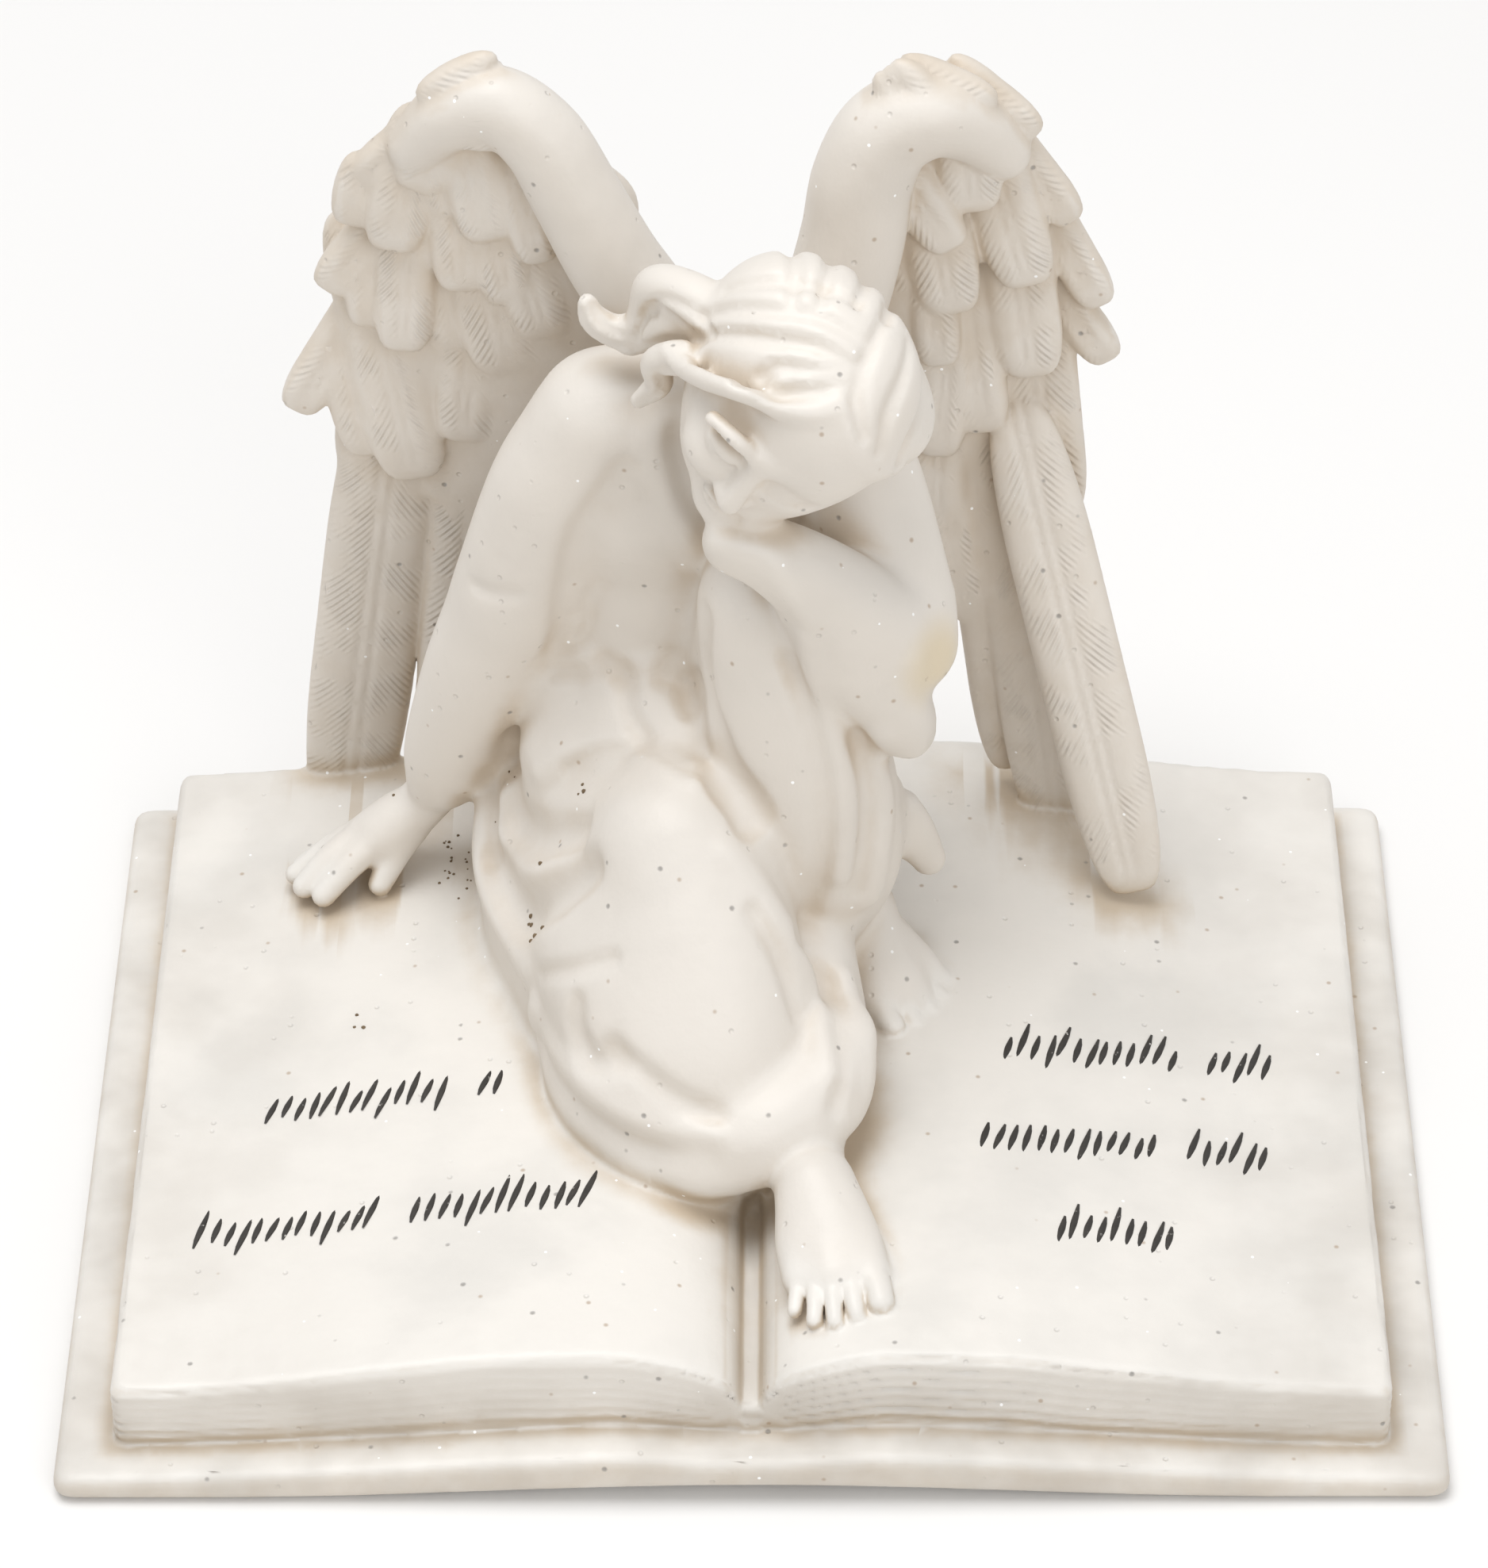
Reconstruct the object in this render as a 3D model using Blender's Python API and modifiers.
"""Memorial angel: a winged figure seated on an open book, cast in marble resin as one solid.

Metres, +Z up. The origin is the middle of the underside, and whoever reads the book stands at -Y.
The book is drawn from its own sizes. The figure and wings are modelled over it in rounded forms,
blended as clay would be, and joined to the pages they sit on.
"""

import math

import bmesh
import bpy
from mathutils import Matrix, Vector

MM = 0.001

# Open book: a bowed cover with a block of pages on it
COVER_WIDTH = 180 * MM
COVER_DEPTH = 135 * MM
COVER_EDGE_THICKNESS = 3.8 * MM
COVER_BOW = 4.3 * MM
COVER_SPINE_DIP = 1.6 * MM
UNDERSIDE_ARCH = 2.2 * MM
UNDERSIDE_FLAT = 20 * MM
SIDE_MARGIN = 7.5 * MM
FRONT_MARGIN = 6.5 * MM
BACK_MARGIN = 3.8 * MM
FORE_EDGE_HEIGHT = 9.8 * MM
PAGE_RISE = 6.1 * MM
PAGE_CREST_X = 21 * MM
GUTTER_DEPTH = 9.2 * MM
GUTTER_HALF_WIDTH = 1.3 * MM
PROFILE_STEPS = 9
COVER_ROUNDING = 1.2 * MM
PAGE_ROUNDING = 1.0 * MM

# Leaf lines cut in the front of the page block
LEAF_LINES = 4
LEAF_LINE_HEIGHT = 0.7 * MM

# Figure and wings: heights above the crest of the pages, in shares of these two sizes
FIGURE_HEIGHT = 120 * MM
FIGURE_UNITS = 120
WING_HEIGHT = 122 * MM
WING_UNITS = 122
SEAT_BACK = 44 * MM

# Surface left by the modelling tools
CLAY_GRAIN = 1.0 * MM
FIGURE_TRIANGLES = 8000

PAGE_CREST = COVER_EDGE_THICKNESS + FORE_EDGE_HEIGHT + PAGE_RISE
PAGE_HALF_WIDTH = COVER_WIDTH / 2 - SIDE_MARGIN


def clear_scene():
    for old in list(bpy.data.objects):
        bpy.data.objects.remove(old, do_unlink=True)


def collection(name):
    made = bpy.data.collections.new(name)
    bpy.context.scene.collection.children.link(made)
    return made


def new_object(name, data, group):
    made = bpy.data.objects.new(name, data)
    group.objects.link(made)
    return made


def evaluated_mesh(obj):
    """The object's mesh with its modifiers, in world space."""
    bpy.context.view_layer.update()
    graph = bpy.context.evaluated_depsgraph_get()
    mesh = bpy.data.meshes.new_from_object(obj.evaluated_get(graph))
    mesh.transform(obj.matrix_world)
    return mesh


def resin_material():
    material = bpy.data.materials.new("marble_resin")
    material.use_nodes = True
    shader = material.node_tree.nodes["Principled BSDF"]
    shader.inputs["Base Color"].default_value = (0.80, 0.76, 0.71, 1)
    shader.inputs["Roughness"].default_value = 0.45
    shader.inputs["Metallic"].default_value = 0.0
    return material


def ease(share):
    """0 to 1 with level ends."""
    return (1 - math.cos(math.pi * share)) / 2


# Book


def cover_top(x):
    share = 1 - min(abs(x) / (COVER_WIDTH / 2), 1)
    dip = COVER_SPINE_DIP * (1 - ease(min(abs(x) / PAGE_CREST_X, 1)))
    return COVER_EDGE_THICKNESS + COVER_BOW * ease(share) - dip


def underside(x):
    flat_from = COVER_WIDTH / 2 - UNDERSIDE_FLAT
    return UNDERSIDE_ARCH * ease(1 - min(abs(x) / flat_from, 1))


def page_top_points():
    """Half of the page block's top outline, from the gutter out to the fore edge."""
    points = []
    for step in range(PROFILE_STEPS + 1):
        turn = math.pi / 2 * step / PROFILE_STEPS
        x = GUTTER_HALF_WIDTH + (PAGE_CREST_X - GUTTER_HALF_WIDTH) * (1 - math.cos(turn))
        points.append((x, PAGE_CREST - GUTTER_DEPTH * (1 - math.sin(turn))))
    for step in range(1, PROFILE_STEPS + 1):
        share = step / PROFILE_STEPS
        x = PAGE_CREST_X + (PAGE_HALF_WIDTH - PAGE_CREST_X) * share
        points.append((x, PAGE_CREST - PAGE_RISE * ease(share)))
    return points


def slab(name, outline, front, back, rounding, group):
    """A closed outline in X and Z, run from front to back along Y, with its sharp corners rounded."""
    curve = bpy.data.curves.new(name, "CURVE")
    curve.dimensions = "2D"
    curve.fill_mode = "BOTH"
    curve.extrude = (back - front) / 2
    spline = curve.splines.new("POLY")
    spline.points.add(len(outline) - 1)
    for point, (x, z) in zip(spline.points, outline):
        point.co = (x, z, 0, 1)
    spline.use_cyclic_u = True
    flat = new_object(name + "_outline", curve, group)
    flat.rotation_euler = (math.pi / 2, 0, 0)
    flat.location = (0, (front + back) / 2, 0)
    mesh = evaluated_mesh(flat)
    bpy.data.objects.remove(flat, do_unlink=True)
    sheet = bmesh.new()
    sheet.from_mesh(mesh)
    bmesh.ops.remove_doubles(sheet, verts=sheet.verts, dist=0.01 * MM)
    bmesh.ops.dissolve_limit(
        sheet, angle_limit=math.radians(0.5), verts=sheet.verts, edges=sheet.edges
    )
    bmesh.ops.recalc_face_normals(sheet, faces=sheet.faces)
    corners = [
        edge
        for edge in sheet.edges
        if edge.is_convex and edge.calc_face_angle(0) > math.radians(50)
    ]
    bmesh.ops.bevel(sheet, geom=corners, offset=rounding, segments=2, profile=0.5, affect="EDGES")
    sheet.to_mesh(mesh)
    sheet.free()
    return new_object(name, mesh, group)


def make_cover(group):
    half = COVER_WIDTH / 2
    count = 2 * PROFILE_STEPS
    across = [half * (2 * step / count - 1) for step in range(count + 1)]
    outline = [(x, cover_top(x)) for x in across]
    outline += [(x, underside(x)) for x in reversed(across)]
    return slab("cover", outline, -COVER_DEPTH / 2, COVER_DEPTH / 2, COVER_ROUNDING, group)


def make_pages(group):
    half_top = page_top_points()
    top = [(-x, z) for x, z in reversed(half_top)] + half_top
    sunk = COVER_EDGE_THICKNESS / 2
    outline = top + [(PAGE_HALF_WIDTH, sunk), (0, COVER_EDGE_THICKNESS), (-PAGE_HALF_WIDTH, sunk)]
    front = -COVER_DEPTH / 2 + FRONT_MARGIN
    back = COVER_DEPTH / 2 - BACK_MARGIN
    return slab("pages", outline, front, back, PAGE_ROUNDING, group)


def leaf_line(name, side, share, group):
    """A shallow groove across the front of one half of the page block, between two leaves."""
    curve = bpy.data.curves.new(name, "CURVE")
    curve.dimensions = "3D"
    curve.bevel_depth = LEAF_LINE_HEIGHT / 2
    curve.bevel_resolution = 0
    curve.use_fill_caps = True
    spline = curve.splines.new("POLY")
    wanted = [point for point in page_top_points()[3:] if point[0] > 3 * MM]
    wanted.append((PAGE_HALF_WIDTH + 2 * MM, wanted[-1][1]))
    spline.points.add(len(wanted) - 1)
    front = -COVER_DEPTH / 2 + FRONT_MARGIN
    for point, (x, top) in zip(spline.points, wanted):
        bottom = cover_top(x)
        point.co = (side * x, front, bottom + (top - bottom) * share, 1)
    cutter = new_object(name, curve, group)
    mesh = evaluated_mesh(cutter)
    bpy.data.objects.remove(cutter, do_unlink=True)
    ring = bmesh.new()
    ring.from_mesh(mesh)
    bmesh.ops.remove_doubles(ring, verts=ring.verts, dist=0.01 * MM)
    bmesh.ops.recalc_face_normals(ring, faces=ring.faces)
    ring.to_mesh(mesh)
    ring.free()
    cutter = new_object(name, mesh, group)
    cutter.hide_render = True
    cutter.display_type = "WIRE"
    return cutter


# Clay: rounded forms that are blended into one

FIGURE_SCALE = FIGURE_HEIGHT / FIGURE_UNITS
WING_SCALE = WING_HEIGHT / WING_UNITS


def on_page(point, scale=FIGURE_SCALE):
    """A point of the carving's own units, from the seat, as a place on the book."""
    x, y, z = point
    return Vector((x * scale, SEAT_BACK + (y - 44) * scale, PAGE_CREST + z * scale))


def smooth_path(stations, steps):
    """Catmull-Rom points through (x, y, z, radius) stations."""
    rows = [Vector(station) for station in stations]
    rows = [2 * rows[0] - rows[1]] + rows + [2 * rows[-1] - rows[-2]]
    path = []
    for a, b, c, d in zip(rows, rows[1:], rows[2:], rows[3:]):
        for step in range(steps):
            t = step / steps
            path.append(
                0.5 * (2 * b + (c - a) * t + (2 * a - 5 * b + 4 * c - d) * t**2
                       + (3 * b - a - 3 * c + d) * t**3)
            )
    path.append(rows[-2])
    return path


def ball(name, centre, radii, group, turn=None, scale=FIGURE_SCALE):
    """An ellipsoid. turn is a rotation matrix."""
    shape = bmesh.new()
    bmesh.ops.create_uvsphere(shape, u_segments=24, v_segments=14, radius=1)
    size = Matrix.Diagonal([radius * scale for radius in radii] + [1])
    place = Matrix.Translation(on_page(centre, scale))
    matrix = place @ (turn.to_4x4() if turn else Matrix.Identity(4)) @ size
    bmesh.ops.transform(shape, matrix=matrix, verts=shape.verts)
    mesh = bpy.data.meshes.new(name)
    shape.to_mesh(mesh)
    shape.free()
    return new_object(name, mesh, group)


def limb(name, stations, group, depth=1.0, scale=FIGURE_SCALE):
    """A round-ended tube through (x, y, z, radius) stations. depth flattens it from front to back."""
    curve = bpy.data.curves.new(name, "CURVE")
    curve.dimensions = "3D"
    curve.bevel_depth = scale
    curve.bevel_resolution = 4
    curve.use_fill_caps = True
    path = smooth_path(stations, 5)
    spline = curve.splines.new("POLY")
    spline.points.add(len(path) - 1)
    for point, (x, y, z, radius) in zip(spline.points, path):
        place = on_page((x, y, z), scale)
        point.co = (place.x, place.y / depth, place.z, 1)
        point.radius = radius
    tube = new_object(name, curve, group)
    tube.scale = (1, depth, 1)
    mesh = evaluated_mesh(tube)
    bpy.data.objects.remove(tube, do_unlink=True)
    skin = bmesh.new()
    skin.from_mesh(mesh)
    bmesh.ops.remove_doubles(skin, verts=skin.verts, dist=0.001 * MM)
    skin.to_mesh(mesh)
    skin.free()
    for end, (x, y, z, radius) in (("start", stations[0]), ("end", stations[-1])):
        ball(f"{name}_{end}", (x, y, z), (radius, radius * depth, radius), group, scale=scale)
    return new_object(name, mesh, group)


TORSO = {
    "hips": ([(-12, 43, 6, 17), (-12, 43, 14, 16.5), (-13, 42, 24, 13)], 0.95),
    "bodice": ([(-13, 42, 26, 11.5), (-13, 41, 34, 10.5), (-12, 38, 50, 12),
                (-9, 35, 64, 13.5), (-5, 32, 76, 13), (-3, 30, 83, 9)], 0.8),
    "shoulders": ([(-19, 31, 80, 8.5), (-4, 31, 83, 8.5), (13, 33, 79, 7.5)], 0.9),
    "side_cloth": ([(-19, 37, 74, 9), (-22, 39, 58, 9.5), (-22, 41, 44, 9.5), (-21, 41, 28, 11)], 0.8),
    "neck": ([(-3, 29, 84, 6.5), (0, 23, 93, 5.5), (4, 17, 99, 6)], 1.0),
}
ARMS = {
    "resting_arm": [(-18.5, 31, 81, 9.4), (-25, 31, 70, 9.2), (-30.5, 32, 54, 8.8),
                    (-37, 34, 36, 8), (-41.5, 36, 22, 6.4), (-43, 37.5, 15, 5)],
    "resting_wrist": [(-42, 38, 15, 3.8), (-46, 38.5, 9, 3.6), (-51, 37.5, 4.5, 4.2)],
    "raised_arm": [(2, 27, 90, 7), (7, 26, 88, 7.6), (11.5, 25.5, 82, 8.2), (15, 23, 74, 8.2),
                   (19.5, 16, 62, 7.4)],
    "forearm": [(20, 13, 58, 7.2), (15, 9.5, 64, 7.4), (8.5, 7, 72.5, 6), (3, 5.5, 78, 4.9),
                (-1.5, 5.5, 80.3, 4.4)],
    "sleeve_fall": [(9, 8, 69, 5), (13, 8, 60, 6), (17, 8.5, 53, 5.2), (21, 9.5, 46, 3.4)],
}
HAND = {
    "thumb": [(-48.5, 37, 5, 2.6), (-50.5, 34.5, 1.5, 2.0), (-52, 32.8, -1, 1.7)],
    "index": [(-52, 36.5, 4.5, 2.6), (-56, 33.5, 2, 2.2), (-59.8, 31, -1.5, 1.9)],
    "middle": [(-53.5, 38, 4, 2.6), (-58.5, 35.5, 1.8, 2.3), (-62.6, 33.2, -1.8, 2.0)],
    "ring": [(-54, 40, 3, 2.4), (-59, 38.5, 0.8, 1.9), (-64, 36.2, -2.2, 1.6)],
    "little": [(-53.5, 41.5, 2, 2.2), (-58.5, 41, -0.5, 1.7), (-63.5, 39, -3, 1.3)],
}
LEGS = {
    "raised_thigh": [(-2, 42, 14, 13), (1.5, 30, 36, 11.3), (3.2, 18, 60, 9.6)],
    "raised_skirt": [(3.2, 16, 62, 9.3), (5, 14, 50, 10.8), (6.7, 13, 36, 12.3),
                     (8, 13.5, 22, 12.5), (10, 14, 11, 10)],
    "raised_ankle": [(14.5, 17, 8, 5), (16.5, 13, 4.4, 4.6), (18, 11, 2, 4.4)],
    "lap": [(-17, 38, 15, 15), (-13, 20, 22, 13.5), (-9, 4, 29, 11.5)],
    "front_skirt": [(-9, 4, 29, 12), (-7, -5, 20, 13.5), (-5.5, -12, 9, 14.5), (-5.5, -14, 1, 14)],
    "front_ankle": [(4, -18, 5, 5), (7, -24, 2.6, 4.8), (8, -31, 2.6, 4.7)],
}
SKIRT = {
    "hip_spread": [(-25, 35, 8, 13.5), (-24, 22, 4, 13), (-20, 8, 4, 12)],
    "outer_hem": [(-20, 10, 5, 10), (-21, -1, 2, 7), (-19, -11, 0, 6.5), (-13, -19, 0, 6),
                  (-5, -23.5, 1, 6), (2, -22, 4, 6)],
    "inner_hem": [(2, -22, 4, 6), (8, -17, 6, 6.5), (9.5, -8, 8, 6), (7, 2, 12, 7)],
    "lap_web": [(-4, 16, 20, 9), (3, 14, 14, 10), (6, 12, 6, 8)],
    "rear_flap": [(18, 20, 16, 5), (22, 22, 9, 4.5), (24, 23, 1, 3)],
}
FOLDS = {
    "hip_fold": [(-27, 40, 26, 2), (-34, 36, 17, 2.6), (-37, 28, 7, 2.8), (-33, 18, 1, 2.8)],
    "hip_fold_low": [(-36, 24, 2, 2.4), (-31, 12, -1, 2.6), (-26, 3, -2, 2.4)],
    "lap_fold_high": [(-27, 33, 20, 2.2), (-25, 24, 14, 2.6), (-17, 17, 13, 2.6), (-8, 11, 19, 2)],
    "lap_fold_low": [(-32, 24, 8, 2.2), (-28, 14, 6, 2.8), (-18, 7, 7, 2.8), (-8, 4, 16, 2)],
    "knee_ridge": [(-7, 2, 39, 2.2), (-4, -8, 31, 2.4), (0, -15, 20, 2.4), (5, -21, 9, 2)],
    "hem_swag": [(-19, -6, 9, 1.8), (-10, -18, 8, 2.2), (1, -22, 10, 2.2), (10, -15, 14, 1.6)],
    "shin_fold_left": [(-6, 12, 60, 1.8), (-6.5, 9, 40, 2), (-4, 6, 26, 2.2), (2, 4, 16, 2)],
    "shin_fold_right": [(12, 7, 50, 1.8), (17, 6, 36, 2.2), (19, 6, 20, 2.2), (18, 7, 10, 1.8)],
    "belt": [(-24, 37, 33.5, 1.8), (-15, 32.5, 33, 1.6), (-5, 33, 33, 1.6)],
    "collar": [(-12, 24, 90, 1.6), (-9, 22, 80, 1.8), (-4, 20, 68, 1.8)],
}
FEET = {
    "front_foot": [(8, -31, 2.2, 4.6), (9.5, -39, 1, 5), (10.8, -45, -0.8, 5.4)],
    "rear_foot": [(17, 14, 2, 4.2), (19, 10, 0.8, 4.4), (21.5, 7.5, -0.8, 4.4)],
}
HAIR = {
    "neck_lock": [(-2, 17, 103, 4.2), (-8, 22, 102.5, 3.2), (-12, 25.5, 99, 2.6), (-15, 27, 96, 1.8)],
    "upper_lock": [(-3, 17, 106, 4.2), (-7.5, 21.5, 107, 3.4), (-11.5, 25, 106, 2.9), (-12.8, 27, 101, 2.6),
                   (-14, 27.5, 98, 2.4), (-17, 28, 97, 2.2), (-19.8, 28.5, 98.6, 1.9)],
    "fallen_lock": [(-4.5, 12.5, 103.5, 2.8), (-9, 14.2, 102.8, 2.3), (-11.6, 16.3, 100.4, 2),
                    (-11.4, 18.3, 95.8, 1.8), (-14, 19.3, 92.4, 1.4)],
}
# The head's own axes: to its left, out of its face, and up
HEAD = (5.6, 11.5, 99.6)
HEAD_AXES = Matrix(((0.83, -0.36, 0.425), (0.14, -0.89, -0.426), (-0.53, -0.29, 0.80)))
# Middle and radii, along those axes
HEAD_FORMS = {
    "skull": ((0, -1, 1.5), (13, 14.5, 14)),
    "face": ((0, 4.5, -4.5), (9.8, 9.4, 11)),
    "chin": ((0, 7.6, -10.6), (6.4, 6.2, 4.8)),
    "nose": ((0, 13.6, -3.8), (1.7, 2.4, 3.6)),
    "hair_cap": ((0.5, -2.4, 3.6), (13.8, 13.2, 12.2)),
    "bun": ((10.5, -4.5, 1), (5.6, 7, 7)),
    "side_roll": ((12, 2, -7), (6.2, 6.6, 6.2)),
}
HAIRLINE = [(-12, 3, 3, 2), (-10, 7.5, 6.5, 2.2), (-5.5, 10.4, 9, 2.2), (0, 11.6, 9.3, 2.2),
            (5, 10.8, 9, 2.2), (9, 7.8, 7.8, 2.4), (11.8, 3.5, 4.5, 2.6)]
TOES = 5
FRONT_TOES = ((16.2, -50.5, 0.2, 2.3), (5.6, -50, -0.6, 1.5))
REAR_TOES = ((19, 2.6, -0.2, 2.2), (26, 9.5, -0.6, 1.4))


def toes(name, first, last, ball_of_foot, group):
    """Toes from the big one to the small one, each longer in the middle of the row."""
    for number in range(TOES):
        share = number / (TOES - 1)
        tip = Vector(first).lerp(Vector(last), share)
        tip.y -= 3.2 * math.sin(math.pi * (0.15 + 0.75 * share)) - 1.4
        root = Vector((tip.x * 0.75 + ball_of_foot[0] * 0.25, tip.y + 6.5, tip.z + 1.2, tip.w))
        limb(f"{name}_{number + 1}", [root, tip], group)


def on_head(place):
    return Vector(HEAD) + HEAD_AXES @ Vector(place)


def model_head(group):
    """A bowed head turned a little to one side, with smooth features and hair drawn across it."""
    turn = HEAD_AXES @ Matrix.Diagonal((1, -1, 1))
    for name, (middle, radii) in HEAD_FORMS.items():
        ball(name, on_head(middle), radii, group, turn)
    limb("hairline", [(*on_head(place), radius) for *place, radius in HAIRLINE], group)


# Wings: an arched arm, a blade, and overlapping feathers


def feather(name, tip, lean, length, width, depth, thickness, group):
    """A flat rounded feather hanging to its tip, with its root lean degrees towards +X."""
    turn = Matrix.Rotation(math.radians(lean), 3, "Y")
    x, z = tip
    middle = Vector((x, depth, z)) + turn @ Vector((0, 0, length / 2))
    ball(name, middle, (width / 2, thickness / 2, length / 2), group, turn, WING_SCALE)


def feather_row(name, first, last, count, leans, sizes, depths, group):
    """Coverts whose tips run from first to last, with lean, length, width and depth to match."""
    for number in range(round(count)):
        share = number / max(count - 1, 1)
        tip = Vector(first).lerp(Vector(last), share)
        lean = leans[0] + (leans[1] - leans[0]) * share
        depth = depths[0] + (depths[1] - depths[0]) * share
        feather(f"{name}_{number + 1}", tip, lean, sizes[0], sizes[1], depth, 5.0, group)


LEFT_WING_ARM = [(-11, 43, 74, 7.5), (-15, 45.5, 86, 8), (-20.5, 48, 95, 8.2), (-24.5, 50, 104, 7.6),
                 (-28, 52, 111, 7), (-33, 53, 114, 6.3), (-39, 54, 112.5, 5.4), (-44, 54, 107, 4.2)]
RIGHT_WING_ARM = [(8, 44, 76, 7.2), (12, 46, 88, 7.6), (14, 48, 98, 7.4), (15.2, 49, 106, 7.2),
                  (18, 50, 112.5, 6.8), (23.5, 50.5, 115, 6.3), (29, 51, 112, 5.3), (33, 52, 107, 4.2)]
LEFT_BLADE = [(-40, 56, 104, 10), (-44, 57, 88, 12), (-47, 58, 70, 12), (-51, 59, 54, 9)]
LEFT_BLADE_INNER = [(-23, 52, 98, 9), (-27, 53, 82, 11), (-31, 54, 66, 11), (-37, 57, 54, 9)]
RIGHT_BLADE = [(29, 54, 104, 7), (32, 55, 90, 10), (33.5, 55, 72, 10.5), (35, 54, 56, 10)]
RIGHT_BLADE_INNER = [(17, 50, 100, 8), (22, 51, 84, 9), (25, 52, 66, 9), (27, 54, 48, 8)]
# name, first tip, last tip, count, leans, (length, width), depths
LEFT_ROWS = (
    ("lobe", (-35, 109.5), (-41.5, 112), 2, (62, 70), (13, 8), (50.5, 53)),
    ("upper", (-28, 91), (-49.5, 103), 4, (0, 42), (19, 10), (51.0, 53.5)),
    ("middle", (-31, 84), (-54.5, 86), 4, (-5, 44), (21, 10.5), (52.3, 54.8)),
    ("lower", (-31, 73), (-46.5, 77), 2, (-4, 4), (22, 13), (53.2, 54.4)),
    ("long", (-38, 62), (-45, 55.5), 2, (-6, -9), (30, 14), (54.5, 55)),
    ("outer", (-60, 66.5), (-60, 66.5), 1, (40, 40), (24, 10), (57, 57)),
)
RIGHT_ROWS = (
    ("lobe", (24, 107), (31, 114), 2, (-48, -62), (15, 12), (47, 51)),
    ("upper", (24.7, 92.5), (42, 98.5), 3, (-18, -38), (19, 10.5), (49.5, 52.5)),
    ("middle", (25.3, 82), (46.5, 85), 3, (-6, -32), (22, 12), (50.5, 53.8)),
    ("lower", (26, 60), (37.2, 71.5), 2, (0, -6), (26, 11.5), (51, 52.5)),
    ("long", (32, 62), (40.5, 47.5), 2, (-2, -4), (32, 13), (52.5, 53.5)),
    ("outer", (35, 106.5), (45.6, 74.5), 4, (-66, -38), (17, 8), (53.5, 56)),
    ("inner", (25, 46), (29, 31), 2, (-3, -7), (30, 9.5), (53.0, 55)),
)
# The long feathers, flattened from front to back. Their ends are sunk in the page.
QUILL_FLATNESS = 0.32
QUILLS = {
    "left_quill_outer": [(-46.5, 58, 78, 8), (-51, 59, 50, 8.6), (-55, 60, 22, 8.6), (-57.5, 60, -4, 7.8)],
    "left_quill_inner": [(-38, 57, 70, 7.5), (-42.5, 58, 44, 8), (-47, 59, 18, 8), (-49, 59.5, -4, 7.5)],
    "left_quill_hidden": [(-33, 56, 62, 6.5), (-36, 57, 36, 6.5), (-38, 57, 12, 6)],
    "right_quill_outer": [(37.5, 55, 80, 7), (41.5, 51, 55, 7.2), (46, 44.5, 28, 7), (50.5, 38, 6, 5.5),
                          (52, 35, -3, 3)],
    "right_quill_inner": [(27, 54, 66, 5.5), (31, 55, 42, 6), (35, 55.5, 18, 5.5), (36.5, 55.5, 4, 3.5)],
    "right_quill_hidden": [(35, 54, 66, 6.5), (39, 51, 38, 6.5), (43, 48, 10, 6), (44, 47.5, -4, 5)],
}


def model_wings(group):
    limb("left_wing_arm", LEFT_WING_ARM, group, scale=WING_SCALE)
    limb("right_wing_arm", RIGHT_WING_ARM, group, scale=WING_SCALE)
    blades = (LEFT_BLADE, LEFT_BLADE_INNER, RIGHT_BLADE, RIGHT_BLADE_INNER)
    for number, blade in enumerate(blades):
        limb(f"blade_{number + 1}", blade, group, depth=0.35, scale=WING_SCALE)
    for side, rows in (("left", LEFT_ROWS), ("right", RIGHT_ROWS)):
        for name, first, last, count, leans, sizes, depths in rows:
            feather_row(f"{side}_{name}", first, last, count, leans, sizes, depths, group)
    for name, stations in QUILLS.items():
        limb(name, stations, group, QUILL_FLATNESS, WING_SCALE)


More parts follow.
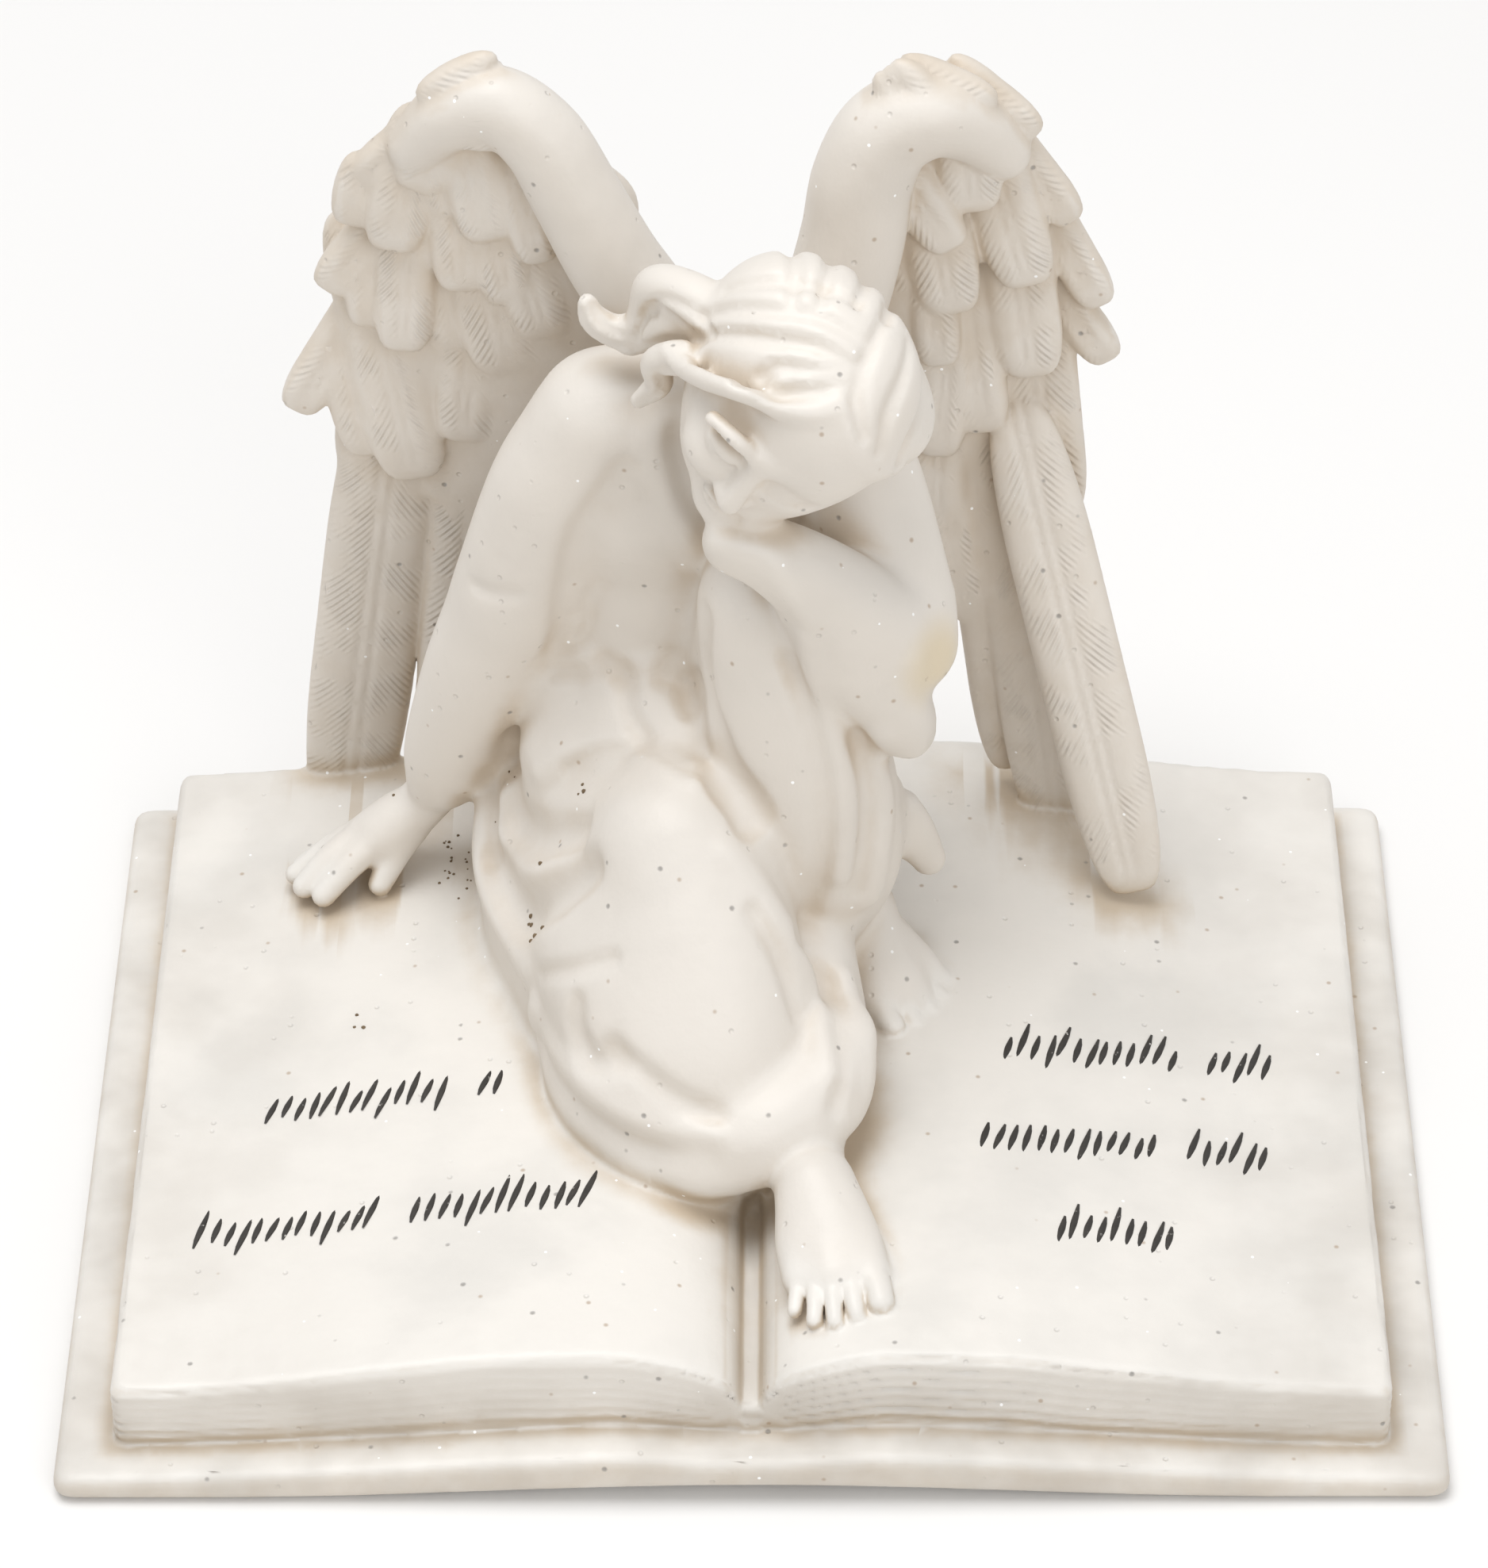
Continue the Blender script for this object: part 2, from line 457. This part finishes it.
def model_figure(group):
    for name, (stations, depth) in TORSO.items():
        limb(name, stations, group, depth)
    for forms in (ARMS, HAND, LEGS, SKIRT, FOLDS, FEET, HAIR):
        for name, stations in forms.items():
            limb(name, stations, group)
    ball("palm", (-51, 38, 3.5), (5, 4.4, 3), group)
    toes("front_toe", *FRONT_TOES, FEET["front_foot"][-1], group)
    toes("rear_toe", *REAR_TOES, FEET["rear_foot"][-1], group)
    model_head(group)


def blend_clay(name, group, target):
    """Joins every form in group into one closed skin, smooths it and thins its triangles."""
    merged = bmesh.new()
    for form in list(group.objects):
        merged.from_mesh(form.data)
        bpy.data.objects.remove(form, do_unlink=True)
    mesh = bpy.data.meshes.new(name)
    merged.to_mesh(mesh)
    merged.free()
    body = new_object(name, mesh, target)
    clay = body.modifiers.new("clay", "REMESH")
    clay.mode = "VOXEL"
    clay.voxel_size = CLAY_GRAIN
    rub = body.modifiers.new("rub", "SMOOTH")
    rub.factor = 0.5
    rub.iterations = 3
    skin = evaluated_mesh(body)
    body.modifiers.clear()
    body.data = skin
    thin = body.modifiers.new("thin", "DECIMATE")
    thin.ratio = min(1.0, FIGURE_TRIANGLES / (2 * len(skin.polygons)))
    thin.use_collapse_triangulate = True
    return body


def join(base, other, operation):
    """Applies an exact Boolean of other to base, and removes other."""
    step = base.modifiers.new(operation.lower(), "BOOLEAN")
    step.operation = operation
    step.object = other
    mesh = evaluated_mesh(base)
    base.modifiers.clear()
    base.data = mesh
    bpy.data.objects.remove(other, do_unlink=True)


def main():
    clear_scene()
    statue_group = collection("memorial_angel")
    workshop = collection("workshop")
    cutters = collection("cutters")
    statue = make_cover(statue_group)
    statue.name = "angel_on_book"
    pages = make_pages(workshop)
    for side in (-1, 1):
        for number in range(LEAF_LINES):
            share = (number + 1) / (LEAF_LINES + 1)
            cutter = leaf_line(f"leaf_line_{side}_{number}", side, share, cutters)
            join(pages, cutter, "DIFFERENCE")
    join(statue, pages, "UNION")
    clay = collection("clay")
    model_figure(clay)
    model_wings(clay)
    figure = blend_clay("figure", clay, workshop)
    join(statue, figure, "UNION")
    statue.data.name = "angel_on_book"
    statue.data.materials.clear()
    statue.data.materials.append(resin_material())
    statue.data.shade_smooth()
    statue.data.set_sharp_from_angle(angle=math.radians(40))


main()
